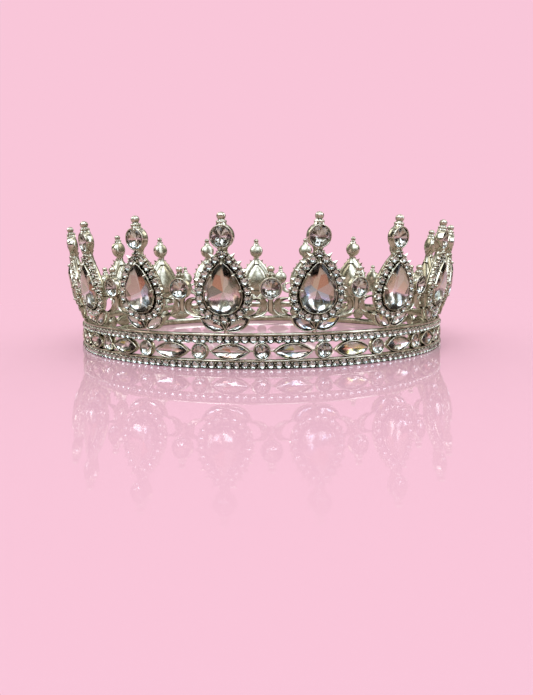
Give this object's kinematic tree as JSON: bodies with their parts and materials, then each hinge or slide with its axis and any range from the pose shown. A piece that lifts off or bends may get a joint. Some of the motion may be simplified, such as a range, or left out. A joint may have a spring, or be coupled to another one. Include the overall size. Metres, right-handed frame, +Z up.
{
  "type": "crown",
  "caption": "Full round jewelled crown with tall pear-stone spires, short round-stone finials on open scrolls, and an openwork stone-set band.",
  "frame": {"origin": "centre of the ring, on the plane of the lower rail's flat underside", "axes": "+Z up along the ring's axis, -Y towards the front, +X to the right seen from the front"},
  "size_m": [0.1602, 0.1601, 0.0477],
  "materials": {
    "plated_silver": "polished rhodium-coloured plating on cast alloy, warm grey, closed domed backs",
    "crystal": "large foil-backed faceted crystal stones",
    "small_crystal": "small foil-backed round rhinestones in claw settings"
  },
  "bodies": {
    "root": {"lower_rail": "plated_silver", "upper_rail": "plated_silver", "band_cup_row": "plated_silver", "lower_stone_row": "small_crystal", "upper_stone_row": "small_crystal", "tall_spire_01": "plated_silver", "scroll_link_01": "plated_silver", "pear_stone_01": "crystal", "tall_spire_02": "plated_silver", "scroll_link_02": "plated_silver", "pear_stone_02": "crystal", "tall_spire_03": "plated_silver", "scroll_link_03": "plated_silver", "pear_stone_03": "crystal", "tall_spire_04": "plated_silver", "scroll_link_04": "plated_silver", "pear_stone_04": "crystal", "tall_spire_05": "plated_silver", "scroll_link_05": "plated_silver", "pear_stone_05": "crystal", "tall_spire_06": "plated_silver", "scroll_link_06": "plated_silver", "pear_stone_06": "crystal", "tall_spire_07": "plated_silver", "scroll_link_07": "plated_silver", "pear_stone_07": "crystal", "tall_spire_08": "plated_silver", "scroll_link_08": "plated_silver", "pear_stone_08": "crystal", "tall_spire_09": "plated_silver", "scroll_link_09": "plated_silver", "pear_stone_09": "crystal", "tall_spire_10": "plated_silver", "scroll_link_10": "plated_silver", "pear_stone_10": "crystal", "tall_spire_11": "plated_silver", "scroll_link_11": "plated_silver", "pear_stone_11": "crystal", "tall_spire_12": "plated_silver", "scroll_link_12": "plated_silver", "pear_stone_12": "crystal", "tall_spire_13": "plated_silver", "scroll_link_13": "plated_silver", "pear_stone_13": "crystal", "tall_spire_14": "plated_silver", "scroll_link_14": "plated_silver", "pear_stone_14": "crystal", "tall_spire_15": "plated_silver", "scroll_link_15": "plated_silver", "pear_stone_15": "crystal", "tall_spire_16": "plated_silver", "scroll_link_16": "plated_silver", "pear_stone_16": "crystal", "tall_spire_17": "plated_silver", "scroll_link_17": "plated_silver", "pear_stone_17": "crystal"}
  },
  "joints": []
}
